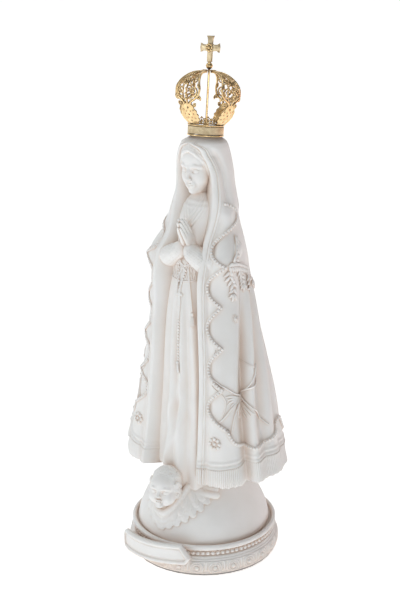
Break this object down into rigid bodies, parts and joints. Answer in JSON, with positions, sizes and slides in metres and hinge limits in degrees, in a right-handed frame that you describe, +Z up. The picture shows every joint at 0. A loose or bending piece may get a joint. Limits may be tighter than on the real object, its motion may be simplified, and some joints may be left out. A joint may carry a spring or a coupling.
{
  "type": "madonna statue",
  "caption": "Crowned madonna with praying hands in a long cloak, standing on a globe over a moulded round foot, with a lift-off pierced crown.",
  "frame": {"origin": "centre of the round foot, on the surface that the statue stands on", "axes": "+Z up, -Y the way the figure faces, +X towards the figure's left hand"},
  "size_m": [0.111, 0.0949, 0.3001],
  "materials": {
    "marble": "matte cast marble powder",
    "felt": "felt",
    "steel": "drawn wire",
    "polished_gilt": "polished gilt brass",
    "matte_gilt": "matte gilt brass"
  },
  "bodies": {
    "statue": {"felt_pad": "felt", "plinth": "marble", "name_scroll": "marble", "globe": "marble", "cherub_head": "marble", "cherub_wing_left": "marble", "cherub_wing_right": "marble", "tunic": "marble", "sleeve_left": "marble", "sleeve_right": "marble", "praying_hands": "marble", "head": "marble", "cloak": "marble", "armature_rod": "steel"},
    "crown": {"crown_rim_lower": "polished_gilt", "crown_band": "matte_gilt", "crown_rim_upper": "polished_gilt", "crown_crest": "polished_gilt", "crown_petal_front": "polished_gilt", "crown_petal_left": "polished_gilt", "crown_petal_back": "polished_gilt", "crown_petal_right": "polished_gilt", "crown_bridge": "matte_gilt", "crown_rod": "matte_gilt", "crown_nut_lower": "matte_gilt", "crown_nut_upper": "matte_gilt", "crown_calyx": "polished_gilt"},
    "finial": {"crown_orb": "polished_gilt", "crown_cross": "matte_gilt", "crown_rosette": "polished_gilt"}
  },
  "joints": [
    {"name": "crown_lift", "type": "slide", "parent": "statue", "child": "crown", "axis": [0, 0.0872, 0.9962], "range_m": [0, 0.03]},
    {"name": "finial_turn", "type": "hinge", "parent": "crown", "child": "finial", "pos_m": [0, 0.0012, 0.2466], "axis": [0, 0.0872, 0.9962], "continuous": true}
  ]
}
